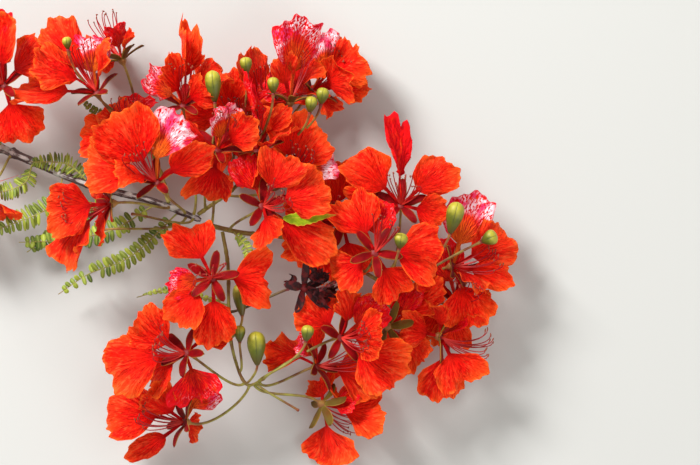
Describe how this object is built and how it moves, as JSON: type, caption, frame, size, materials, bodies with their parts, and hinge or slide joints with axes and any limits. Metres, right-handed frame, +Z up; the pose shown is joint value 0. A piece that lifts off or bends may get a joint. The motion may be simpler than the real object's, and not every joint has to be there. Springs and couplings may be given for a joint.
{
  "type": "flowering flame tree branch",
  "caption": "Cut branch of a flame tree lying on its side, with sprays of large red five-petalled blooms, green buds and feathery leaves.",
  "frame": {"origin": "bottom centre of the bounding box, on the ground the branch lies on", "axes": "+X from the cut end along the branch to the outermost blooms, +Y across the spray towards its northern blooms, +Z up from the ground, which is the way the pictured side faces"},
  "size_m": [0.4799, 0.3793, 0.132],
  "materials": {
    "bark": "grey-brown bark, rough",
    "stalk": "green-brown young stem, satin",
    "petal": "scarlet petals, satin",
    "bud": "green bud, satin",
    "leaf": "yellow-green leaf, matt",
    "withered": "dried dark crimson petals, matt"
  },
  "bodies": {
    "root": {"branch": "bark", "stem_east": "stalk", "stem_south": "stalk", "stem_north": "stalk", "stem_northwest": "stalk", "bud_north_west": "bud", "bud_north_tall": "bud", "bud_north": "bud", "bud_north_right": "bud", "bud_north_low": "bud", "bud_east_large": "bud", "bud_east": "bud", "bud_east_high": "bud", "bud_south_high": "bud", "bud_south_large": "bud", "bud_south_small": "bud", "bud_south_old": "bud", "bud_far_west": "bud", "bare_stalk_upper": "stalk", "bare_stalk_lower": "stalk", "bare_stalk_south": "stalk", "bloom_centre_west": "petal", "bloom_star_west": "petal", "bloom_centre_east": "petal", "bloom_west": "petal", "bloom_centre": "petal", "bloom_east_star": "petal", "bloom_southwest": "petal", "bloom_north_west": "petal", "bloom_north": "petal", "bloom_south_middle": "petal", "bloom_centre_north": "petal", "bloom_withered": "withered", "bloom_far_west": "petal", "bloom_behind_west": "petal", "bloom_low_west": "petal", "bloom_centre_high": "petal", "bloom_north_east": "petal", "bloom_east_high": "petal", "bloom_south": "petal", "bloom_south_low": "petal", "bloom_back_east": "petal", "bloom_south_east": "petal", "bloom_north_far": "petal", "bloom_east": "petal", "bloom_north_middle": "petal", "bloom_back_south": "petal", "bloom_middle": "petal", "bloom_north_behind": "petal", "bloom_east_low": "petal", "bloom_far_north_east": "petal", "frond_upper": "leaf", "frond_left": "leaf", "frond_middle": "leaf", "frond_lower": "leaf", "frond_north": "leaf", "frond_south": "leaf", "frond_middle_small": "leaf", "frond_west": "leaf", "frond_low_west": "leaf"}
  },
  "joints": []
}
